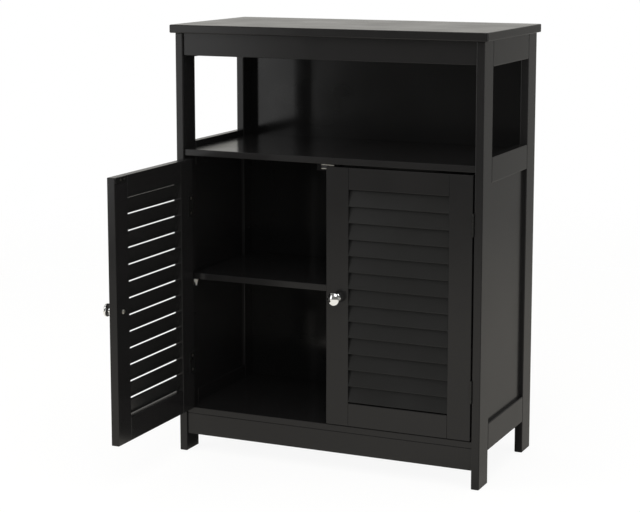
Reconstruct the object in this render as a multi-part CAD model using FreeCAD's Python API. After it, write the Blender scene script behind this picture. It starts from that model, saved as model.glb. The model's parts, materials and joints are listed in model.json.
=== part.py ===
import FreeCAD, Part
import math
import os

from FreeCAD import Placement, Rotation, Vector

# A free-standing bathroom cabinet in painted board: an open bay above two louvred doors.
# The origin is on the floor under the middle of the top. X runs to the right, Y to the back, Z up.
# The left door stands open at a right angle and the right door is closed.

# Overall size
HEIGHT = 800.0
TOP_WIDTH = 610.0
TOP_DEPTH = 305.0
TOP_CORNER_RADIUS = 5.0
SIDE_OVERHANG = 8.0
FRONT_OVERHANG = 10.0

# Board thicknesses and edges
BOARD = 15.0
THIN_BOARD = 12.0
SIDE_PANEL = 3.0
BACK_PANEL = 3.0
EASE = 1.0
FRAME_EASE = 1.8
TOP_EASE = 2.0

# Side frames
LEG = 47.0
SIDE_TOP_RAIL_Z = 739.0
MIDDLE_RAIL_Z = (537.5, 582.5)
BOTTOM_RAIL_Z = (60.0, 109.0)
TONGUE = 5.0

# Rails and boards between the side frames
RAIL_SETBACK = 4.0
FRONT_TOP_RAIL_HEIGHT = 41.0
FRONT_BOTTOM_RAIL_Z = (33.0, 73.0)
FIXED_SHELF_Z = 560.0
BACK_OVERHANG = 3.0
BACK_PANEL_INSET = 14.0

# Loose shelf, its pins and their holes
SHELF_SETBACK = 32.5
SHELF_SIDE_GAP = 1.0
SHELF_BACK_GAP = 2.0
PIN_HOLE_FRONT = 38.0
PIN_HOLE_BACK = 28.0
PIN_HOLE_Z = (257.0, 321.0, 385.0)
PIN_RADIUS = 2.5
PIN_HOLE_DEPTH = 9.0
PIN_PEG_LENGTH = 8.0
BRACKET_REACH = 6.4
BRACKET_WIDTH = 6.0
BRACKET_WALL = 1.8
BRACKET_PLATE_HEIGHT = 6.0
RIB_HEIGHT = 13.0
RIB_TIP_X = (2.4, 3.2)

# Doors
DOOR_SETBACK = 1.0
DOOR_Z = (86.5, 556.0)
DOOR_WIDTH = 275.0
HINGE_GAP = 3.0
STILE = 43.0
DOOR_TOP_RAIL = 38.7
DOOR_BOTTOM_RAIL = 42.2
SLAT_COUNT = 13
SLAT_GAP = 0.8
SLAT_END_GAPS = (2.3, 1.4)
SLAT_THICKNESS = 6.0
SLAT_RUN = 8.2
SLAT_SETBACK = 0.4
SLAT_TENON = 5.0
SLAT_EASE = 0.8
LEFT_DOOR_OPEN = 90.0

# Knobs
KNOB_INSET = STILE / 2
KNOB_HEAD_RADIUS = 11.9
KNOB_LENGTH = 22.5
KNOB_SCREW_RADIUS = 2.0
KNOB_SCREW_HOLE_RADIUS = 2.3
KNOB_SCREW_GRIP = 12.0

# Hinges
HINGE_LENGTH = 38.0
HINGE_FROM_ENDS = (89.0, 86.0)
KNUCKLES = 5
KNUCKLE_GAP = 0.2
BARREL_RADIUS = 2.0
HINGE_PIN_RADIUS = 1.05
HINGE_CLEARANCE = 0.05
LEAF = 1.0
LEAF_DEPTH = 22.0
LEAF_NOTCH = 2.5
WRAP_WIDTH = 17.0
PIN_FORWARD = 1.5
HINGE_PIN_HEAD = (1.8, 1.5)
HINGE_SCREW_SPACING = 27.0
FRAME_SCREW_BACK = 13.0
DOOR_SCREW_INSET = 7.5

# Double magnetic catch under the fixed shelf, and its strike plates
CATCH_WIDTH = 44.0
CATCH_HEIGHT = 14.5
CATCH_DEPTH = 16.0
CATCH_SETBACK = 2.3
MAGNET_X = (0.5, 12.5)
MAGNET_DEPTH = 12.0
POLE_PLATE = 1.2
POLE_PLATE_Z = (549.0, 556.0)
POLE_PROUD = 1.0
CATCH_SCREW_X = 17.0
STRIKE_LENGTH = 36.0
STRIKE_HEIGHT = 9.8
STRIKE_THICKNESS = 1.0
STRIKE_EDGE = 1.0
STRIKE_TOP_GAP = 0.2
STRIKE_SCREWS = (19.0, 31.0)

# Dowels
FRAME_DOWEL = (4.0, 25.0)
BOARD_DOWEL = (3.0, 24.0)
BOARD_DOWEL_IN_SIDE = 8.0
BOARD_DOWEL_Y = 50.0
DOOR_DOWEL = (3.0, 30.0)

# Cam fittings
CAM_RADIUS = 7.5
CAM_WEB = 2.0
CAM_REACH = 24.0
CAM_INSET = 28.5
CAM_CHANNEL_RADIUS = 3.3
CAM_BOLT_BORE_RADIUS = 3.6
CAM_BOLT_THREAD = (3.0, 10.0)
CAM_BOLT_NECK = (2.5, 18.0)
CAM_BOLT_WAIST = (1.6, 3.0)
CAM_BOLT_HEAD = (3.0, 4.0)

# Countersunk screws: head radius, shank radius and length
HINGE_SCREW = (2.9, 1.4, 12.0)
STRIKE_SCREW = (2.6, 1.3, 10.0)
CATCH_SCREW = (3.0, 1.5, 12.0)
BACK_SCREW = (3.0, 1.5, 14.0)
SCREW_TIP = 2.5
BACK_SCREW_X = (-180.0, 0.0, 180.0)

# Places that follow from the sizes above
X_OUT = TOP_WIDTH / 2 - SIDE_OVERHANG
X_IN = X_OUT - BOARD
X_FRAME = X_OUT - BOARD / 2
Y_TOP = -TOP_DEPTH / 2
Y_LEG = Y_TOP + FRONT_OVERHANG
Y_RAIL = Y_LEG + RAIL_SETBACK
Y_LEG_BACK = TOP_DEPTH / 2 - BACK_OVERHANG
Y_BACK = Y_LEG_BACK - BACK_PANEL_INSET
Y_PANEL_BACK = Y_BACK + BACK_PANEL
Y_OPEN = (Y_LEG + LEG, Y_LEG_BACK - LEG)
Z_TOP = HEIGHT - BOARD
BOTTOM_BOARD_Z = FRONT_BOTTOM_RAIL_Z[1]
Y_CAMS = (Y_LEG + CAM_INSET, Y_LEG_BACK - CAM_INSET)
Y_PIN_HOLES = (Y_LEG + PIN_HOLE_FRONT, Y_LEG_BACK - PIN_HOLE_BACK)
SHELF_Z = PIN_HOLE_Z[1] + PIN_RADIUS

Y_DOOR = Y_LEG + DOOR_SETBACK
Y_DOOR_INNER = Y_DOOR + BOARD
X_HINGE_EDGE = X_IN - HINGE_GAP
X_FREE_EDGE = X_HINGE_EDGE - DOOR_WIDTH
DOOR_MIDDLE = (DOOR_Z[0] + DOOR_Z[1]) / 2
LOUVRE_Z = (DOOR_Z[0] + DOOR_BOTTOM_RAIL, DOOR_Z[1] - DOOR_TOP_RAIL)
LOUVRE_X = (X_FREE_EDGE + STILE, X_HINGE_EDGE - STILE)
SLAT_PITCH = (LOUVRE_Z[1] - LOUVRE_Z[0] - sum(SLAT_END_GAPS) + SLAT_GAP) / SLAT_COUNT
PIN_X = X_IN - HINGE_GAP / 2
PIN_Y = Y_LEG - PIN_FORWARD
HINGE_Z = (DOOR_Z[0] + HINGE_FROM_ENDS[0], DOOR_Z[1] - HINGE_FROM_ENDS[1])

RIGHT = (1, 0, 0)
LEFT = (-1, 0, 0)
FRONT = (0, -1, 0)
BACK = (0, 1, 0)
UP = (0, 0, 1)
DOWN = (0, 0, -1)

nodes = {}


# Helpers
def box(x, y, z):
    """A plain box between pairs of limits."""
    return Part.makeBox(x[1] - x[0], y[1] - y[0], z[1] - z[0], Vector(x[0], y[0], z[0]))


def eased(shape, radius, edges):
    """One solid with some of its edges rounded."""
    return shape.makeFillet(radius, edges).Solids[0]


def board(x, y, z, ease=EASE):
    """A board with all its edges eased."""
    plain = box(x, y, z)
    return eased(plain, ease, plain.Edges)


def rod(start, direction, radius, length):
    """A cylinder from a point along a direction."""
    return Part.makeCylinder(radius, length, Vector(*start), Vector(*direction))


def place(shape, point, direction):
    """Turns a shape's own Z axis to a direction and sets its origin on a point."""
    placed = shape.copy()
    placed.Placement = Placement(Vector(*point), Rotation(Vector(0, 0, 1), Vector(*direction)))
    return placed


def along(point, direction, distance):
    """A point moved along a direction."""
    return tuple(p + d * distance for p, d in zip(point, direction))


def near(a, b):
    """True where the boxes round two shapes meet."""
    return a.BoundBox.intersect(b.BoundBox)


def cut(shape, tools):
    """Takes the tools out of one solid and gives the one solid that is left."""
    close = tuple(t for t in tools if near(shape, t))
    if not close:
        return shape
    solids = shape.cut(close).Solids
    if len(solids) != 1:
        raise ValueError("a cut left %d solids" % len(solids))
    return solids[0]


def join(shapes):
    """Fuses touching shapes into one solid."""
    solids = shapes[0].multiFuse(shapes[1:]).removeSplitter().Solids
    if len(solids) != 1:
        raise ValueError("a join left %d solids" % len(solids))
    return solids[0]


def mirrored(shape):
    """The same shape on the left side."""
    return shape.mirror(Vector(0, 0, 0), Vector(1, 0, 0))


def both(shapes):
    """The shapes and their mirror images."""
    return list(shapes) + [mirrored(s) for s in shapes]


# Fasteners, made with their Z axis pointing into what they hold
def cross_recess(size, depth):
    """The cross that a screwdriver turns."""
    half = size / 2
    arm = size / 5
    across = box((-half, half), (-arm / 2, arm / 2), (-1, depth))
    along_it = box((-arm / 2, arm / 2), (-half, half), (-1, depth))
    return (across, along_it)


def countersunk_screw(point, direction, size):
    """A flat-headed wood screw whose head is flush with the point."""
    head_radius, shank_radius, length = size
    head_depth = head_radius - shank_radius
    head = Part.makeCone(head_radius, shank_radius, head_depth)
    shank = rod((0, 0, head_depth), UP, shank_radius, length - head_depth - SCREW_TIP)
    tip = Part.makeCone(shank_radius, shank_radius / 5, SCREW_TIP, Vector(0, 0, length - SCREW_TIP))
    whole = join([head, shank, tip])
    return place(cut(whole, cross_recess(head_radius, head_depth / 2)), point, direction)


def screw_hole(point, direction, size):
    """The hole that a countersunk screw fills."""
    head_radius, shank_radius, length = size
    head_depth = head_radius - shank_radius
    head = Part.makeCone(head_radius, shank_radius, head_depth)
    shank = rod((0, 0, head_depth / 2), UP, shank_radius, length - head_depth / 2)
    return place(join([head, shank]), point, direction)


def cam_fitting(face, bolt_way, depth_way, thickness):
    """A cam in a board's face and the bolt that it draws in from the next piece.

    Gives the cam, the bolt, and the tools that bore the board and the next piece.
    """
    depth = thickness - CAM_WEB
    middle = along(face, depth_way, thickness / 2)
    end = along(middle, bolt_way, CAM_REACH)
    back_way = tuple(-b for b in bolt_way)
    pocket = rod(face, depth_way, CAM_RADIUS, depth)
    bore = rod(middle, bolt_way, CAM_BOLT_BORE_RADIUS, CAM_REACH)
    thread = rod(end, bolt_way, *CAM_BOLT_THREAD)
    neck = rod(end, back_way, *CAM_BOLT_NECK)
    waist_start = along(end, back_way, CAM_BOLT_NECK[1])
    waist = rod(waist_start, back_way, *CAM_BOLT_WAIST)
    head = rod(along(waist_start, back_way, CAM_BOLT_WAIST[1]), back_way, *CAM_BOLT_HEAD)
    bolt = join([thread, neck, waist, head])
    channel_start = along(middle, back_way, CAM_BOLT_HEAD[1] - 1)
    channel = rod(channel_start, bolt_way, CAM_CHANNEL_RADIUS, CAM_RADIUS + CAM_BOLT_HEAD[1])
    recess = [place(t, face, depth_way) for t in cross_recess(CAM_RADIUS, CAM_WEB)]
    cam = cut(pocket, [channel] + recess)
    return cam, bolt, [pocket, bore], thread


# Side frames: two legs, three rails and a thin panel in grooves
def side_frame():
    """The right side frame as plain solids by name."""
    x = (X_IN, X_OUT)
    panel = box(
        (X_FRAME - SIDE_PANEL / 2, X_FRAME + SIDE_PANEL / 2),
        (Y_OPEN[0] - TONGUE, Y_OPEN[1] + TONGUE),
        (BOTTOM_RAIL_Z[1] - TONGUE, MIDDLE_RAIL_Z[0] + TONGUE),
    )
    spans = {
        "front_leg": ((Y_LEG, Y_OPEN[0]), (0, Z_TOP)),
        "rear_leg": ((Y_OPEN[1], Y_LEG_BACK), (0, Z_TOP)),
        "side_top_rail": (Y_OPEN, (SIDE_TOP_RAIL_Z, Z_TOP)),
        "side_middle_rail": (Y_OPEN, MIDDLE_RAIL_Z),
        "side_bottom_rail": (Y_OPEN, BOTTOM_RAIL_Z),
    }
    frame = {name: cut(board(x, y, z, FRAME_EASE), [panel]) for name, (y, z) in spans.items()}
    frame["side_panel"] = panel
    return frame


def frame_dowels():
    """Two dowels in each joint of the right side frame."""
    radius, length = FRAME_DOWEL
    dowels = []
    for low, high in ((SIDE_TOP_RAIL_Z, Z_TOP), MIDDLE_RAIL_Z, BOTTOM_RAIL_Z):
        for share in (0.2, 0.8):
            z = low + (high - low) * share
            for y in Y_OPEN:
                dowels.append(rod((X_FRAME, y - length / 2, z), BACK, radius, length))
    return dowels


def board_dowels():
    """Dowels on the right between the boards or front rails and the side frame."""
    radius, length = BOARD_DOWEL
    start = X_IN + BOARD_DOWEL_IN_SIDE - length
    y_rail = Y_RAIL + BOARD / 2
    z_top_rail = Z_TOP - FRONT_TOP_RAIL_HEIGHT + BOARD_DOWEL_IN_SIDE
    z_bottom_rail = FRONT_BOTTOM_RAIL_Z[0] + BOARD_DOWEL_IN_SIDE
    spots = [(y_rail, z_top_rail), (y_rail, z_bottom_rail)]
    for z in (FIXED_SHELF_Z, BOTTOM_BOARD_Z):
        for y in (-BOARD_DOWEL_Y, BOARD_DOWEL_Y):
            spots.append((y, z + THIN_BOARD / 2))
    return [rod((start, y, z), RIGHT, radius, length) for y, z in spots]


def cam_fittings():
    """All cam fittings of the right half, by the node that holds the cam."""
    x = X_IN - CAM_REACH
    y_rail = Y_RAIL + BOARD
    z_top_rail = Z_TOP - FRONT_TOP_RAIL_HEIGHT / 2
    z_bottom_rail = sum(FRONT_BOTTOM_RAIL_Z) / 2
    fittings = {
        "fixed_shelf": [cam_fitting((x, y, FIXED_SHELF_Z), RIGHT, UP, THIN_BOARD) for y in Y_CAMS],
        "bottom_board": [cam_fitting((x, y, BOTTOM_BOARD_Z), RIGHT, UP, THIN_BOARD) for y in Y_CAMS],
        "front_top_rail": [cam_fitting((x, y_rail, z_top_rail), RIGHT, FRONT, BOARD)],
        "front_bottom_rail": [cam_fitting((x, y_rail, z_bottom_rail), RIGHT, FRONT, BOARD)],
        "front_leg": [cam_fitting((X_IN, Y_CAMS[0], Z_TOP - CAM_REACH), UP, RIGHT, BOARD)],
        "rear_leg": [cam_fitting((X_IN, Y_CAMS[1], Z_TOP - CAM_REACH), UP, RIGHT, BOARD)],
    }
    return fittings


def pin_holes():
    """Three holes for shelf pins in each right leg."""
    return [rod((X_IN, y, z), RIGHT, PIN_RADIUS, PIN_HOLE_DEPTH) for y in Y_PIN_HOLES for z in PIN_HOLE_Z]


def shelf_pin(y):
    """A plastic shelf pin: a peg, and a bracket whose flat top carries the shelf over a pointed rib."""
    side = (y - BRACKET_WIDTH / 2, y + BRACKET_WIDTH / 2)
    root = BRACKET_WALL / 2
    peg = rod((X_IN - root, y, PIN_HOLE_Z[1]), RIGHT, PIN_RADIUS, PIN_PEG_LENGTH + root)
    plate = box((X_IN - BRACKET_WALL, X_IN), side, (SHELF_Z - BRACKET_PLATE_HEIGHT, SHELF_Z))
    flange = box((X_IN - BRACKET_REACH, X_IN), side, (SHELF_Z - BRACKET_WALL, SHELF_Z))
    outline = [
        Vector(X_IN - root, y - root, SHELF_Z - root),
        Vector(X_IN - root, y - root, SHELF_Z - BRACKET_PLATE_HEIGHT),
        Vector(X_IN - RIB_TIP_X[0], y - root, SHELF_Z - RIB_HEIGHT),
        Vector(X_IN - RIB_TIP_X[1], y - root, SHELF_Z - RIB_HEIGHT),
        Vector(X_IN - BRACKET_REACH, y - root, SHELF_Z - root),
    ]
    rib = Part.Face(Part.makePolygon(outline + outline[:1])).extrude(Vector(0, BRACKET_WALL, 0))
    return join([peg, plate, flange, rib])


# Hinges, drawn for the closed right door
def knuckle_spans(z_middle):
    """The knuckles' heights from the bottom up, with a small gap between each two."""
    low = z_middle - HINGE_LENGTH / 2
    step = HINGE_LENGTH / KNUCKLES
    gap = KNUCKLE_GAP / 2
    return [(low + i * step + gap, low + (i + 1) * step - gap) for i in range(KNUCKLES)]


def hinge_knuckle(span, leaf_x):
    """One rolled knuckle and the short tab from its leaf."""
    barrel = rod((PIN_X, PIN_Y, span[0]), UP, BARREL_RADIUS, span[1] - span[0])
    tab = box(leaf_x, (PIN_Y, PIN_Y + LEAF_NOTCH), span)
    return [barrel, tab]


def hinge_screw_spots(z_middle):
    """The heights of a leaf's two screws."""
    return (z_middle - HINGE_SCREW_SPACING / 2, z_middle + HINGE_SCREW_SPACING / 2)


def frame_leaf(z_middle):
    """The leaf on the leg's inner face, with the outer and middle knuckles."""
    x = (X_IN - LEAF, X_IN)
    z = (z_middle - HINGE_LENGTH / 2, z_middle + HINGE_LENGTH / 2)
    pieces = [box(x, (PIN_Y + LEAF_NOTCH, PIN_Y + LEAF_DEPTH), z)]
    for span in knuckle_spans(z_middle)[0::2]:
        pieces += hinge_knuckle(span, x)
    bore = rod((PIN_X, PIN_Y, z[0]), UP, HINGE_PIN_RADIUS, HINGE_LENGTH)
    return cut(join(pieces), [bore])


def door_leaf(z_middle):
    """The leaf that lies on the door's edge and wraps onto its inner face."""
    x = (X_HINGE_EDGE, X_HINGE_EDGE + LEAF)
    z = (z_middle - HINGE_LENGTH / 2, z_middle + HINGE_LENGTH / 2)
    y_wrap = (Y_DOOR_INNER, Y_DOOR_INNER + LEAF)
    pieces = [
        box(x, (PIN_Y + LEAF_NOTCH, y_wrap[1]), z),
        box((X_HINGE_EDGE - WRAP_WIDTH, x[1]), y_wrap, z),
    ]
    for span in knuckle_spans(z_middle)[1::2]:
        pieces += hinge_knuckle(span, x)
    bore = rod((PIN_X, PIN_Y, z[0]), UP, HINGE_PIN_RADIUS + HINGE_CLEARANCE, HINGE_LENGTH)
    return cut(join(pieces), [bore])


def hinge_pin(z_middle):
    """The pin, with a button at each end."""
    radius, height = HINGE_PIN_HEAD
    low = z_middle - HINGE_LENGTH / 2
    high = z_middle + HINGE_LENGTH / 2
    shaft = rod((PIN_X, PIN_Y, low), UP, HINGE_PIN_RADIUS, HINGE_LENGTH)
    buttons = []
    for z, way in ((low, DOWN), (high, UP)):
        button = rod((PIN_X, PIN_Y, z), way, radius, height)
        outer = [e for e in button.Edges if abs(e.BoundBox.ZMin - z) > height / 2]
        rim = [e for e in outer if e.BoundBox.ZLength < height / 2]
        buttons.append(eased(button, height * 0.6, rim))
    return join([shaft] + buttons)


def frame_screw_places():
    """Where the screws of the right frame leaves start, and which way they go."""
    y = PIN_Y + FRAME_SCREW_BACK
    return [((X_IN - LEAF, y, z), RIGHT) for middle in HINGE_Z for z in hinge_screw_spots(middle)]


def door_screw_places():
    """Where the screws of the right door leaves start, and which way they go."""
    x = X_HINGE_EDGE - DOOR_SCREW_INSET
    return [((x, Y_DOOR_INNER + LEAF, z), FRONT) for middle in HINGE_Z for z in hinge_screw_spots(middle)]


# Doors, drawn closed on the right
def slat(z_top):
    """One louvre slat, its lower edge forward and its ends housed in the stiles."""
    z_bottom = z_top - (SLAT_PITCH - SLAT_GAP)
    y_low = Y_DOOR + SLAT_SETBACK
    y_high = y_low + SLAT_RUN
    x = LOUVRE_X[0] - SLAT_TENON
    corners = [
        Vector(x, y_low, z_bottom),
        Vector(x, y_low + SLAT_THICKNESS, z_bottom),
        Vector(x, y_high + SLAT_THICKNESS, z_top),
        Vector(x, y_high, z_top),
    ]
    width = LOUVRE_X[1] - LOUVRE_X[0] + 2 * SLAT_TENON
    plain = Part.Face(Part.makePolygon(corners + corners[:1])).extrude(Vector(width, 0, 0))
    long_edges = [e for e in plain.Edges if e.BoundBox.XLength > width / 2]
    return eased(plain, SLAT_EASE, long_edges)


def slats():
    """All the slats of one door, evenly spaced between its rails."""
    return [slat(LOUVRE_Z[1] - SLAT_END_GAPS[1] - i * SLAT_PITCH) for i in range(SLAT_COUNT)]


def door_dowels():
    """Two dowels in each corner of the door's frame."""
    radius, length = DOOR_DOWEL
    y = Y_DOOR + BOARD / 2
    dowels = []
    for low, high in ((DOOR_Z[0], LOUVRE_Z[0]), (LOUVRE_Z[1], DOOR_Z[1])):
        for share in (0.25, 0.75):
            z = low + (high - low) * share
            for x in LOUVRE_X:
                dowels.append(rod((x - length / 2, y, z), RIGHT, radius, length))
    return dowels


def knob():
    """A round knob with a low domed head on a narrow neck, turned about its own axis."""
    head = KNOB_HEAD_RADIUS
    length = KNOB_LENGTH
    foot = head * 0.6
    neck = head * 0.4
    foot_edge = Vector(foot, 0, 0.08 * length)
    neck_middle = Vector(neck, 0, 0.3 * length)
    under_head = Vector(head * 0.94, 0, 0.66 * length)
    rim = Vector(head, 0, 0.75 * length)
    shoulder = Vector(head * 0.95, 0, 0.82 * length)
    crown = Vector(0, 0, length)
    rise = length - shoulder.z
    dome = (shoulder.x ** 2 + rise ** 2) / (2 * rise)
    half_angle = math.asin(shoulder.x / dome) / 2
    dome_middle = Vector(dome * math.sin(half_angle), 0, length - dome * (1 - math.cos(half_angle)))
    edges = [
        Part.LineSegment(Vector(0, 0, 0), Vector(foot, 0, 0)).toShape(),
        Part.LineSegment(Vector(foot, 0, 0), foot_edge).toShape(),
        Part.Arc(foot_edge, Vector(neck * 1.12, 0, 0.15 * length), neck_middle).toShape(),
        Part.Arc(neck_middle, Vector(neck * 1.35, 0, 0.53 * length), under_head).toShape(),
        Part.Arc(under_head, rim, shoulder).toShape(),
        Part.Arc(shoulder, dome_middle, crown).toShape(),
        Part.LineSegment(crown, Vector(0, 0, 0)).toShape(),
    ]
    turned = Part.Face(Part.Wire(edges)).revolve(Vector(0, 0, 0), Vector(0, 0, 1), 360)
    bore = rod((0, 0, -1), UP, KNOB_SCREW_RADIUS, KNOB_SCREW_GRIP + 1)
    place_on_door = (X_FREE_EDGE + KNOB_INSET, Y_DOOR, DOOR_MIDDLE)
    return place(cut(Part.makeSolid(turned.Shells[0]), [bore]), place_on_door, FRONT)


def knob_screw():
    """A pan-headed machine screw from the door's inner face into the knob."""
    head = rod((0, 0, -2.4), UP, 4.0, 2.4)
    rim = [e for e in head.Edges if e.BoundBox.ZMax < -2.3 and e.BoundBox.ZLength < 0.1]
    domed = eased(head, 1.5, rim)
    shank = rod((0, 0, 0), UP, KNOB_SCREW_RADIUS, BOARD + KNOB_SCREW_GRIP - 0.5)
    recess = [t.translated(Vector(0, 0, -2.4)) for t in cross_recess(4.4, 1.2)]
    whole = cut(join([domed, shank]), recess)
    return place(whole, (X_FREE_EDGE + KNOB_INSET, Y_DOOR_INNER, DOOR_MIDDLE), FRONT)


def strike_screw_places():
    """Where the strike plate's screws start, and which way they go."""
    z = DOOR_Z[1] - STRIKE_TOP_GAP - STRIKE_HEIGHT / 2
    y = Y_DOOR_INNER + STRIKE_THICKNESS
    return [((X_FREE_EDGE + x, y, z), FRONT) for x in STRIKE_SCREWS]


def door():
    """The closed right door: a list of solids for each of its nodes."""
    y = (Y_DOOR, Y_DOOR_INNER)
    door_slats = slats()
    dowels = door_dowels()
    hinge_screws = [screw_hole(p, d, HINGE_SCREW) for p, d in door_screw_places()]
    strike_screws = [screw_hole(p, d, STRIKE_SCREW) for p, d in strike_screw_places()]
    knob_place = (X_FREE_EDGE + KNOB_INSET, Y_DOOR_INNER, DOOR_MIDDLE)
    knob_hole = rod(knob_place, FRONT, KNOB_SCREW_HOLE_RADIUS, BOARD)
    strike_z = (DOOR_Z[1] - STRIKE_TOP_GAP - STRIKE_HEIGHT, DOOR_Z[1] - STRIKE_TOP_GAP)
    strike_x = (X_FREE_EDGE + STRIKE_EDGE, X_FREE_EDGE + STRIKE_EDGE + STRIKE_LENGTH)
    strike = box(strike_x, (Y_DOOR_INNER, Y_DOOR_INNER + STRIKE_THICKNESS), strike_z)
    holes = door_slats + dowels + hinge_screws + strike_screws + [knob_hole]
    return {
        "door_free_stile": [cut(board((X_FREE_EDGE, LOUVRE_X[0]), y, DOOR_Z), holes)],
        "door_hinge_stile": [cut(board((LOUVRE_X[1], X_HINGE_EDGE), y, DOOR_Z), holes)],
        "door_top_rail": [cut(board(LOUVRE_X, y, (LOUVRE_Z[1], DOOR_Z[1])), dowels)],
        "door_bottom_rail": [cut(board(LOUVRE_X, y, (DOOR_Z[0], LOUVRE_Z[0])), dowels)],
        "door_slats": door_slats,
        "door_dowels": dowels,
        "knob": [knob()],
        "knob_screw": [knob_screw()],
        "strike_plate": [cut(strike, strike_screws)],
        "strike_screws": [countersunk_screw(p, d, STRIKE_SCREW) for p, d in strike_screw_places()],
        "hinge_door_leaves": [cut(door_leaf(z), hinge_screws) for z in HINGE_Z],
        "hinge_door_screws": [countersunk_screw(p, d, HINGE_SCREW) for p, d in door_screw_places()],
    }


# Double magnetic catch
def catch():
    """The catch under the fixed shelf, by node."""
    y_front = Y_DOOR_INNER + CATCH_SETBACK
    y = (y_front, y_front + CATCH_DEPTH)
    z = (FIXED_SHELF_Z - CATCH_HEIGHT, FIXED_SHELF_Z)
    y_magnet = (y_front, y_front + MAGNET_DEPTH)
    y_plate = (y_front - POLE_PROUD, y_front + MAGNET_DEPTH)
    magnets = both([box(MAGNET_X, y_magnet, (POLE_PLATE_Z[0] + POLE_PLATE, POLE_PLATE_Z[1]))])
    plates = both([box(MAGNET_X, y_plate, (low, low + POLE_PLATE)) for low in POLE_PLATE_Z])
    places = [((x, sum(y) / 2, z[0]), UP) for x in (-CATCH_SCREW_X, CATCH_SCREW_X)]
    case = board((-CATCH_WIDTH / 2, CATCH_WIDTH / 2), y, z)
    long_screw = (CATCH_SCREW[0], CATCH_SCREW[1], CATCH_HEIGHT + CATCH_SCREW[2] - 2 * EASE)
    holes = [screw_hole(p, d, long_screw) for p, d in places]
    return {
        "catch_case": [cut(case, magnets + plates + holes)],
        "catch_magnets": magnets,
        "catch_pole_plates": plates,
        "catch_screws": [countersunk_screw(p, d, long_screw) for p, d in places],
    }, holes


# Carcass
def back_screw_places():
    """Where the back panel's screws start, and which way they go."""
    heights = [z + THIN_BOARD / 2 for z in (FIXED_SHELF_Z, BOTTOM_BOARD_Z)]
    return [((x, Y_PANEL_BACK, z), FRONT) for x in BACK_SCREW_X for z in heights]


def top_board():
    """The top, with rounded corners and softly rounded edges."""
    plain = box((-TOP_WIDTH / 2, TOP_WIDTH / 2), (Y_TOP, -Y_TOP), (Z_TOP, HEIGHT))
    corners = [e for e in plain.Edges if e.BoundBox.ZLength > BOARD / 2]
    rounded = eased(plain, TOP_CORNER_RADIUS, corners)
    level = [e for e in rounded.Edges if e.BoundBox.ZLength < BOARD / 2]
    return eased(rounded, TOP_EASE, level)


def carcass():
    """Everything that stands still, by node."""
    side = side_frame()
    x_back = X_IN + TONGUE
    back = box((-x_back, x_back), (Y_BACK, Y_PANEL_BACK), (BOTTOM_RAIL_Z[0], Z_TOP + TONGUE))
    dowels = frame_dowels()
    edge_dowels = board_dowels()
    fittings = cam_fittings()
    catch_nodes, catch_holes = catch()
    pins = [shelf_pin(y) for y in Y_PIN_HOLES]
    frame_screws = [screw_hole(p, d, HINGE_SCREW) for p, d in frame_screw_places()]
    back_screws = [screw_hole(p, d, BACK_SCREW) for p, d in back_screw_places()]
    all_fittings = [f for group in fittings.values() for f in group]
    threads = [f[3] for f in all_fittings]
    side_holes = dowels + edge_dowels + threads + pin_holes() + frame_screws + [back]
    parts = {}
    for name, solid in side.items():
        own = [tool for f in fittings.get(name, []) for tool in f[2]]
        bored = solid if name == "side_panel" else cut(solid, side_holes + own)
        parts["right_" + name] = [bored]
        parts["left_" + name] = [mirrored(bored)]
    spans = {
        "fixed_shelf": ((Y_RAIL, Y_BACK), (FIXED_SHELF_Z, FIXED_SHELF_Z + THIN_BOARD)),
        "bottom_board": ((Y_RAIL, Y_BACK), (BOTTOM_BOARD_Z, BOTTOM_BOARD_Z + THIN_BOARD)),
        "front_top_rail": ((Y_RAIL, Y_RAIL + BOARD), (Z_TOP - FRONT_TOP_RAIL_HEIGHT, Z_TOP)),
        "front_bottom_rail": ((Y_RAIL, Y_RAIL + BOARD), FRONT_BOTTOM_RAIL_Z),
    }
    for name, (y, z) in spans.items():
        own = [tool for f in fittings[name] for tool in f[2]]
        holes = both(edge_dowels + own) + back_screws + catch_holes
        parts[name] = [cut(board((-X_IN, X_IN), y, z), holes)]
    parts["top_board"] = [cut(top_board(), both(threads) + [back])]
    parts["back_panel"] = [cut(back, back_screws)]
    x_shelf = X_IN - SHELF_SIDE_GAP
    y_shelf = (Y_LEG + SHELF_SETBACK, Y_BACK - SHELF_BACK_GAP)
    parts["adjustable_shelf"] = [board((-x_shelf, x_shelf), y_shelf, (SHELF_Z, SHELF_Z + THIN_BOARD))]
    parts["shelf_pins"] = both(pins)
    parts["frame_dowels"] = both(dowels)
    parts["board_dowels"] = both(edge_dowels)
    parts["cams"] = both([f[0] for f in all_fittings])
    parts["cam_bolts"] = both([f[1] for f in all_fittings])
    parts["back_panel_screws"] = [countersunk_screw(p, d, BACK_SCREW) for p, d in back_screw_places()]
    parts["hinge_frame_leaves"] = both([cut(frame_leaf(z), frame_screws) for z in HINGE_Z])
    parts["hinge_pins"] = both([hinge_pin(z) for z in HINGE_Z])
    screws = [countersunk_screw(p, d, HINGE_SCREW) for p, d in frame_screw_places()]
    parts["hinge_frame_screws"] = both(screws)
    parts.update(catch_nodes)
    return parts


def opened_left(shape):
    """A piece of the right door, mirrored to the left and swung open."""
    swung = mirrored(shape)
    swung.rotate(Vector(-PIN_X, PIN_Y, 0), Vector(0, 0, 1), -LEFT_DOOR_OPEN)
    return swung


nodes.update(carcass())
for part_name, part_solids in door().items():
    nodes["right_" + part_name] = part_solids
    nodes["left_" + part_name] = [opened_left(s) for s in part_solids]

os.makedirs("parts", exist_ok=True)
for node_name, solids in nodes.items():
    shape = solids[0] if len(solids) == 1 else Part.makeCompound(solids)
    if not shape.isValid():
        raise ValueError(node_name + " is not valid")
    shape.exportStep("parts/" + node_name + ".step")
print(len(nodes), "nodes,", sum(len(s) for s in nodes.values()), "solids")
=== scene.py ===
import json
import math

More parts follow.
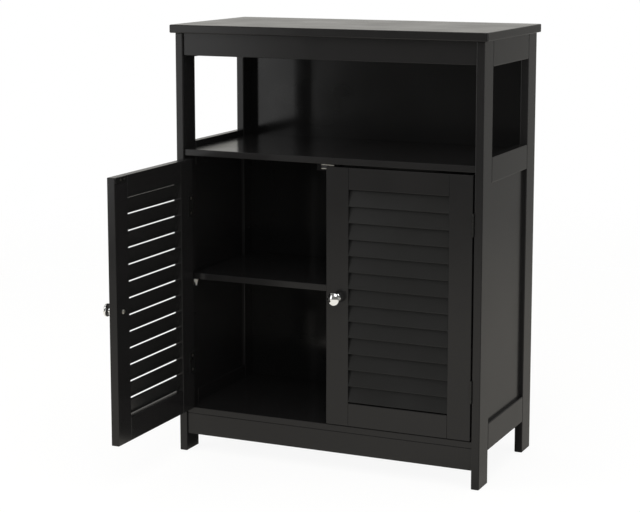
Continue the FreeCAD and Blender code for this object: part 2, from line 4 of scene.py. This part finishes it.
import bpy
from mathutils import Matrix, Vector

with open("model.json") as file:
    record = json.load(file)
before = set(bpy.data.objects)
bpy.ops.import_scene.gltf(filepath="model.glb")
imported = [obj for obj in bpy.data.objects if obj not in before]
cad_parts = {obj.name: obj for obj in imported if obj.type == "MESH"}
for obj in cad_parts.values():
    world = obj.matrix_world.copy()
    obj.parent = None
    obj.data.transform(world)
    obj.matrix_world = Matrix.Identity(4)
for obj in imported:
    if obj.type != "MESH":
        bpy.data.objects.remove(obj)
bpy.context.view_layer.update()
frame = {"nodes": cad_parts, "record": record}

MM = 0.001


# Colour and nodes
def linear(code):
    """A linear colour from an sRGB hex code such as "1c1b1a"."""
    parts = [int(code[i:i + 2], 16) / 255 for i in (0, 2, 4)]
    return (*[c / 12.92 if c <= 0.04045 else ((c + 0.055) / 1.055) ** 2.4 for c in parts], 1.0)


def add(tree, kind, sockets=None, **settings):
    """Adds a node, gives it its settings, and sets or links its sockets."""
    made = tree.nodes.new(kind)
    for name, value in settings.items():
        setattr(made, name, value)
    for name, value in (sockets or {}).items():
        if isinstance(value, bpy.types.NodeSocket):
            tree.links.new(value, made.inputs[name])
        else:
            made.inputs[name].default_value = value
    return made


def per(size_mm):
    """The texture scale at which one feature is this many millimetres across."""
    return 1 / (size_mm * MM)


def start_material(name):
    """An empty node material, its tree and the piece's own coordinates."""
    material = bpy.data.materials.new(name)
    material.use_nodes = True
    tree = material.node_tree
    tree.nodes.clear()
    place = add(tree, "ShaderNodeTexCoord").outputs["Object"]
    return material, tree, place


# Most of a noise lies between these two.
NOISE_RANGE = {"From Min": 0.3, "From Max": 0.7}
# A typical paint or lacquer has a specular level of 0.5. These are matched to the photograph's dark sheen.
DARK_SHEEN = 0.3


def mottled(tree, pattern, shades, roughness):
    """A colour and a roughness that vary together with a pattern, each between its two ends."""
    tint = {0: pattern, 6: linear(shades[0]), 7: linear(shades[1])}
    gloss = {"Value": pattern, **NOISE_RANGE, "To Min": roughness[0], "To Max": roughness[1]}
    return {
        "Base Color": add(tree, "ShaderNodeMix", tint, data_type="RGBA").outputs[2],
        "Roughness": add(tree, "ShaderNodeMapRange", gloss).outputs["Result"],
    }


# Finishes
def satin_black_paint(name, peel_mm, roughness, shades):
    """Black water-based paint, sprayed on fibreboard. It dries to a satin skin with fine orange peel,
    so it mirrors the floor and the backdrop softly, and more sharply in some places than others."""
    material, tree, place = start_material(name)
    cloud = add(tree, "ShaderNodeTexNoise", {"Vector": place, "Scale": per(90), "Detail": 3.0}).outputs[0]
    fine = {"Vector": place, "Scale": per(peel_mm), "Detail": 2.0}
    peel = add(tree, "ShaderNodeTexNoise", fine).outputs[0]
    # Sanded board under the paint swells in soft low waves about 30 mm long.
    swell = add(tree, "ShaderNodeTexNoise", {"Vector": place, "Scale": per(30), "Detail": 1.0}).outputs[0]
    low_waves = {"Height": swell, "Strength": 0.25, "Distance": 0.12 * MM}
    waves = add(tree, "ShaderNodeBump", low_waves).outputs[0]
    skin = {"Height": peel, "Strength": 0.3, "Distance": 0.03 * MM, "Normal": waves}
    paint = {
        **mottled(tree, cloud, shades, roughness),
        "IOR": 1.45,
        "Specular IOR Level": DARK_SHEEN,
        "Normal": add(tree, "ShaderNodeBump", skin).outputs[0],
    }
    surface = add(tree, "ShaderNodeBsdfPrincipled", paint).outputs[0]
    add(tree, "ShaderNodeOutputMaterial", {"Surface": surface})
    return material


def chrome_plate():
    """Chrome plated zinc, polished. It is a mirror with the faintest haze."""
    material, tree, place = start_material("polished_chrome_plate")
    haze = add(tree, "ShaderNodeTexNoise", {"Vector": place, "Scale": per(6), "Detail": 2.0}).outputs[0]
    gloss = {"Value": haze, **NOISE_RANGE, "To Min": 0.05, "To Max": 0.09}
    metal = {
        "Base Color": linear("eff0f1"),
        "Metallic": 1.0,
        "Roughness": add(tree, "ShaderNodeMapRange", gloss).outputs["Result"],
    }
    surface = add(tree, "ShaderNodeBsdfPrincipled", metal).outputs[0]
    add(tree, "ShaderNodeOutputMaterial", {"Surface": surface})
    return material


def zinc_plate():
    """Steel with bright zinc plating, as on cheap screws and catch plates. It is cloudy and slightly
    warm, over the steel's own faint grain."""
    material, tree, place = start_material("bright_zinc_plated_steel")
    cloudy = {"Vector": place, "Scale": per(2.5), "Detail": 3.0}
    cloud = add(tree, "ShaderNodeTexNoise", cloudy).outputs[0]
    grainy = {"Vector": place, "Scale": per(0.4), "Detail": 2.0}
    grain = add(tree, "ShaderNodeTexNoise", grainy).outputs[0]
    rolled = {"Height": grain, "Strength": 0.2, "Distance": 0.01 * MM}
    metal = {
        **mottled(tree, cloud, ("c2bfb8", "d9d6cf"), (0.24, 0.36)),
        "Metallic": 1.0,
        "Normal": add(tree, "ShaderNodeBump", rolled).outputs[0],
    }
    surface = add(tree, "ShaderNodeBsdfPrincipled", metal).outputs[0]
    add(tree, "ShaderNodeOutputMaterial", {"Surface": surface})
    return material


def black_lacquered_steel():
    """Pressed steel with baked black lacquer. It has no orange peel, and its shine is a little duller
    than that of the painted board beside it."""
    material, tree, place = start_material("black_lacquered_steel")
    cloud = add(tree, "ShaderNodeTexNoise", {"Vector": place, "Scale": per(8), "Detail": 2.0}).outputs[0]
    lacquer = {
        **mottled(tree, cloud, ("171716", "1c1c1b"), (0.25, 0.34)),
        "IOR": 1.5,
        "Specular IOR Level": DARK_SHEEN,
    }
    surface = add(tree, "ShaderNodeBsdfPrincipled", lacquer).outputs[0]
    add(tree, "ShaderNodeOutputMaterial", {"Surface": surface})
    return material


def moulded_plastic(name, shades, roughness, shine, glow):
    """Injection moulded plastic with the fine spark-eroded texture of its mould. The real grain is about
    0.1 mm, and it is drawn 0.5 mm wide so that it shows."""
    material, tree, place = start_material(name)
    grain = add(tree, "ShaderNodeTexVoronoi", {"Vector": place, "Scale": per(0.5)}).outputs[0]
    cloud = add(tree, "ShaderNodeTexNoise", {"Vector": place, "Scale": per(5), "Detail": 2.0}).outputs[0]
    eroded = {"Height": grain, "Strength": 0.15, "Distance": 0.02 * MM}
    plastic = {
        **mottled(tree, cloud, shades, roughness),
        "IOR": 1.53,
        "Specular IOR Level": shine,
        "Subsurface Weight": glow,
        "Subsurface Radius": (1.5 * MM, 1.2 * MM, 1.0 * MM),
        "Subsurface Scale": 1.0,
        "Normal": add(tree, "ShaderNodeBump", eroded).outputs[0],
    }
    surface = add(tree, "ShaderNodeBsdfPrincipled", plastic).outputs[0]
    add(tree, "ShaderNodeOutputMaterial", {"Surface": surface})
    return material


def sintered_ferrite():
    """Pressed and fired ferrite, the catch's magnets. It is dull grey-black, and its grains, too small to
    see, are drawn as specks 0.6 mm wide."""
    material, tree, place = start_material("sintered_ferrite")
    specked = {"Vector": place, "Scale": per(0.6), "Detail": 4.0}
    speck = add(tree, "ShaderNodeTexNoise", specked).outputs[0]
    rough = {"Height": speck, "Strength": 0.4, "Distance": 0.03 * MM}
    stone = {
        **mottled(tree, speck, ("1c1c1d", "2d2d2f"), (0.55, 0.75)),
        "IOR": 1.6,
        "Normal": add(tree, "ShaderNodeBump", rough).outputs[0],
    }
    surface = add(tree, "ShaderNodeBsdfPrincipled", stone).outputs[0]
    add(tree, "ShaderNodeOutputMaterial", {"Surface": surface})
    return material


def turned_beech():
    """Bare beech dowel rod. It has short brown flecks along a pale pinkish grain."""
    material, tree, place = start_material("turned_beech")
    # A fleck is about 3 mm long and 0.5 mm wide, and the dowels lie along X or Y.
    along = {"Vector": place, "Scale": (per(3), per(3), per(0.5))}
    stretch = add(tree, "ShaderNodeMapping", along).outputs[0]
    fleck = add(tree, "ShaderNodeTexNoise", {"Vector": stretch, "Scale": 1.0, "Detail": 3.0}).outputs[0]
    tint = {0: fleck, 6: linear("b98a5e"), 7: linear("d9b48a")}
    pores = {"Height": fleck, "Strength": 0.3, "Distance": 0.05 * MM}
    wood = {
        "Base Color": add(tree, "ShaderNodeMix", tint, data_type="RGBA").outputs[2],
        "Roughness": 0.6,
        "IOR": 1.5,
        "Normal": add(tree, "ShaderNodeBump", pores).outputs[0],
    }
    surface = add(tree, "ShaderNodeBsdfPrincipled", wood).outputs[0]
    add(tree, "ShaderNodeOutputMaterial", {"Surface": surface})
    return material


board_paint = satin_black_paint(
    "satin_black_paint_on_fibreboard", peel_mm=2.2, roughness=(0.17, 0.23), shades=("1d1d1d", "201f1f"))
# The slats' paint is a lighter copy of the board's: painted light, standing in for light on the slats.
slat_paint_painted_light = satin_black_paint(
    "satin_black_paint_on_slats_painted_lighter", peel_mm=1.8, roughness=(0.19, 0.25), shades=("212120", "232323"))
# The hardboard's paint is a darker copy of the board's: painted shade for the inside of the cabinet.
back_paint_painted_shade = satin_black_paint(
    "satin_black_paint_on_hardboard_painted_darker", peel_mm=1.4, roughness=(0.12, 0.18), shades=("131313", "161616"))
pin_plastic = moulded_plastic(
    "white_polyethylene", shades=("dedbd3", "ebe8e1"), roughness=(0.38, 0.46), shine=0.5, glow=0.15)
case_plastic = moulded_plastic(
    "black_abs", shades=("0a0a0a", "0f0f0f"), roughness=(0.46, 0.54), shine=0.1, glow=0.0)

FINISH_BY_SLOT = {
    "black_board": board_paint,
    "back_board": back_paint_painted_shade,
    "beech_dowel": turned_beech(),
    "chrome": chrome_plate(),
    "zinc_steel": zinc_plate(),
    "black_steel": black_lacquered_steel(),
    "white_plastic": pin_plastic,
    "black_plastic": case_plastic,
    "ferrite": sintered_ferrite(),
}


def dress(piece, material):
    """Gives a piece one material and no other."""
    piece.data.materials.clear()
    piece.data.materials.append(material)


for part in frame["record"]["subparts"]:
    # The slats get the lighter paint, which is painted light.
    is_slats = part["node"].endswith("door_slats")
    finish = slat_paint_painted_light if is_slats else FINISH_BY_SLOT[part["material_slot"]]
    dress(frame["nodes"][part["node"]], finish)


# Studio
def seen_directly(tree):
    """1 for what the camera, a mirror or glass sees, and 0 for light on its way to a surface."""
    path = add(tree, "ShaderNodeLightPath").outputs
    pair = {0: path["Is Camera Ray"], 1: path["Is Glossy Ray"]}
    camera_or_mirror = add(tree, "ShaderNodeMath", pair, operation="MAXIMUM").outputs[0]
    three = {0: camera_or_mirror, 1: path["Is Transmission Ray"]}
    return add(tree, "ShaderNodeMath", three, operation="MAXIMUM").outputs[0]


def studio_world():
    """White paper all round: pure white to the camera, softer as a light and where it is mirrored."""
    world = bpy.data.worlds.new("studio")
    world.use_nodes = True
    tree = world.node_tree
    tree.nodes.clear()
    path = add(tree, "ShaderNodeLightPath").outputs
    way = add(tree, "ShaderNodeTexCoord").outputs["Generated"]
    # Mirrored in the paint, the paper behind the cabinet and to its left is bright, and the rest is dim.
    back_and_left = (-0.8, 0.6, 0.0)
    ways = {0: way, 1: back_and_left}
    aim = add(tree, "ShaderNodeVectorMath", ways, operation="DOT_PRODUCT").outputs["Value"]
    turn = {"Value": aim, "From Min": -0.05, "From Max": 0.9, "To Min": 0.16, "To Max": 0.62}
    glow = add(tree, "ShaderNodeMapRange", turn, interpolation_type="SMOOTHSTEP").outputs["Result"]
    to_camera = add(tree, "ShaderNodeBackground", {"Color": linear("ffffff"), "Strength": 1.0}).outputs[0]
    to_mirror = add(tree, "ShaderNodeBackground", {"Color": linear("fffdf7"), "Strength": glow}).outputs[0]
    to_surface = add(tree, "ShaderNodeBackground", {"Color": linear("fbfaf7"), "Strength": 0.5}).outputs[0]
    no_camera = {0: seen_directly(tree), 1: to_surface, 2: to_mirror}
    to_cabinet = add(tree, "ShaderNodeMixShader", no_camera).outputs[0]
    whole = {0: path["Is Camera Ray"], 1: to_cabinet, 2: to_camera}
    surface = add(tree, "ShaderNodeMixShader", whole).outputs[0]
    add(tree, "ShaderNodeOutputWorld", {"Surface": surface})
    bpy.context.scene.world = world


def mirrored_paper_painted_shade(tree, place):
    """How bright the floor is where the cabinet mirrors it, with its painted shade and painted shadow."""
    # Painted shade: it is dimmer to the right and behind, as if away from the lamps.
    right_and_back = (0.8, 0.6, 0.0)
    ways = {0: place, 1: right_and_back}
    side = add(tree, "ShaderNodeVectorMath", ways, operation="DOT_PRODUCT").outputs["Value"]
    turn = {"Value": side, "From Min": -0.1, "From Max": 0.3, "To Min": 1.0, "To Max": 0.4}
    painted_lit_side = add(tree, "ShaderNodeMapRange", turn, interpolation_type="SMOOTHSTEP").outputs["Result"]
    # A painted shadow: it is dark beneath the cabinet, where the cabinet's own shadow lies, and lighter
    # past a soft edge.
    painted_shadow_half_size = (0.26, 0.11, 0.0)
    painted_shadow_soft_edge = 0.06
    corner = add(tree, "ShaderNodeVectorMath", {0: place}, operation="ABSOLUTE").outputs[0]
    reach = {0: corner, 1: painted_shadow_half_size}
    past = add(tree, "ShaderNodeVectorMath", reach, operation="SUBTRACT").outputs[0]
    outside = {0: past, 1: (0.0, 0.0, 0.0)}
    beside = add(tree, "ShaderNodeVectorMath", outside, operation="MAXIMUM").outputs[0]
    clear_of_painted_shadow = add(tree, "ShaderNodeVectorMath", {0: beside}, operation="LENGTH").outputs["Value"]
    shadow = {"Value": clear_of_painted_shadow, "From Max": painted_shadow_soft_edge, "To Min": 0.02, "To Max": painted_lit_side}
    return add(tree, "ShaderNodeMapRange", shadow, interpolation_type="SMOOTHSTEP").outputs["Result"]


def background_paper():
    """White paper. Most of its look is an even white of its own, and the rest is paper that the lamps
    light, which keeps part of the cabinet's shadow. Where mirrors see its own white, it carries a painted
    shadow beneath the cabinet and painted shade to the right and behind. Far away it fades into the white
    all round."""
    own_share = 0.86
    white_to_camera = 1.06
    fade_start, fade_end = 1.2, 3.3
    material, tree, place = start_material("white_background_paper")
    path = add(tree, "ShaderNodeLightPath").outputs
    paper = add(tree, "ShaderNodeBsdfDiffuse", {"Color": linear("f4f3f0")}).outputs[0]
    # What mirrors see of the floor carries the painted shade and the painted shadow.
    to_mirror = mirrored_paper_painted_shade(tree, place)
    seen = {"Value": path["Is Camera Ray"], "To Min": to_mirror, "To Max": white_to_camera}
    tint = {0: path["Is Camera Ray"], 6: linear("fffaf0"), 7: linear("ffffff")}
    own = {
        "Color": add(tree, "ShaderNodeMix", tint, data_type="RGBA").outputs[2],
        "Strength": add(tree, "ShaderNodeMapRange", seen).outputs["Result"],
    }
    white = add(tree, "ShaderNodeEmission", own).outputs[0]
    shares = {0: seen_directly(tree), 1: own_share}
    share = add(tree, "ShaderNodeMath", shares, operation="MULTIPLY").outputs[0]
    sheet = add(tree, "ShaderNodeMixShader", {0: share, 1: paper, 2: white}).outputs[0]
    away = add(tree, "ShaderNodeVectorMath", {0: place}, operation="LENGTH").outputs["Value"]
    edge = {"Value": away, "From Min": fade_start, "From Max": fade_end}
    fade = add(tree, "ShaderNodeMapRange", edge, interpolation_type="SMOOTHSTEP").outputs["Result"]
    clear = add(tree, "ShaderNodeBsdfTransparent").outputs[0]
    surface = add(tree, "ShaderNodeMixShader", {0: fade, 1: sheet, 2: clear}).outputs[0]
    add(tree, "ShaderNodeOutputMaterial", {"Surface": surface})
    return material


def studio_floor():
    """A square sheet of white paper, a hair below the feet."""
    reach = 3.4
    gap = 0.2 * MM
    corners = [(-reach, -reach, 0), (reach, -reach, 0), (reach, reach, 0), (-reach, reach, 0)]
    mesh = bpy.data.meshes.new("studio_floor")
    mesh.from_pydata(corners, [], [(0, 1, 2, 3)])
    floor = bpy.data.objects.new("studio_floor", mesh)
    floor.location.z = -gap
    bpy.context.scene.collection.objects.link(floor)
    dress(floor, background_paper())


def softbox(name, place, aim, size, watts, mirrored=True):
    """A soft lamp that faces a point. The cabinet's glossy surfaces show it only if it is mirrored."""
    lamp = bpy.data.lights.new(name, "AREA")
    lamp.shape = "RECTANGLE"
    lamp.size, lamp.size_y = size
    lamp.energy = watts
    holder = bpy.data.objects.new(name, lamp)
    holder.location = place
    holder.visible_glossy = mirrored
    way = Vector(aim) - Vector(place)
    holder.rotation_euler = way.to_track_quat("-Z", "Y").to_euler()
    bpy.context.scene.collection.objects.link(holder)


def photo_camera():
    """The camera, found by fitting points of the cabinet to the photograph."""
    turn_left = math.radians(24.31)
    tilt_down = math.radians(8.66)
    lens = bpy.data.cameras.new("photo_camera")
    lens.sensor_fit = "HORIZONTAL"
    lens.sensor_width = 36.0
    lens.lens = 98.65
    lens.shift_y = -0.1
    lens.clip_end = 50.0
    camera = bpy.data.objects.new("photo_camera", lens)
    camera.location = (1.2604, -2.9493, 0.9789)
    camera.rotation_euler = (math.pi / 2 - tilt_down, 0, turn_left)
    bpy.context.scene.collection.objects.link(camera)
    bpy.context.scene.camera = camera


studio_world()
studio_floor()
softbox("softbox_left", place=(-2.12, -2.35, 1.0), aim=(0, 0, 0.6), size=(1.6, 2.0), watts=17)
softbox("softbox_front", place=(0.6, -2.3, 2.5), aim=(0, 0, 0.4), size=(1.6, 1.4), watts=20)
# This lamp isn't mirrored, so that the knobs stay dark on the camera's side.
softbox("softbox_by_camera", place=(0.9, -3.3, 1.0), aim=(0, 0, 0.4), size=(1.4, 1.2), watts=13,
        mirrored=False)
softbox("softbox_above", place=(0.2, -0.6, 3.2), aim=(0, 0, 0.5), size=(2.4, 1.6), watts=14)
softbox("softbox_right", place=(2.6, 0.2, 1.0), aim=(0.2, 0, 0.4), size=(1.2, 1.6), watts=8)
photo_camera()
bpy.context.scene.view_settings.view_transform = "Standard"
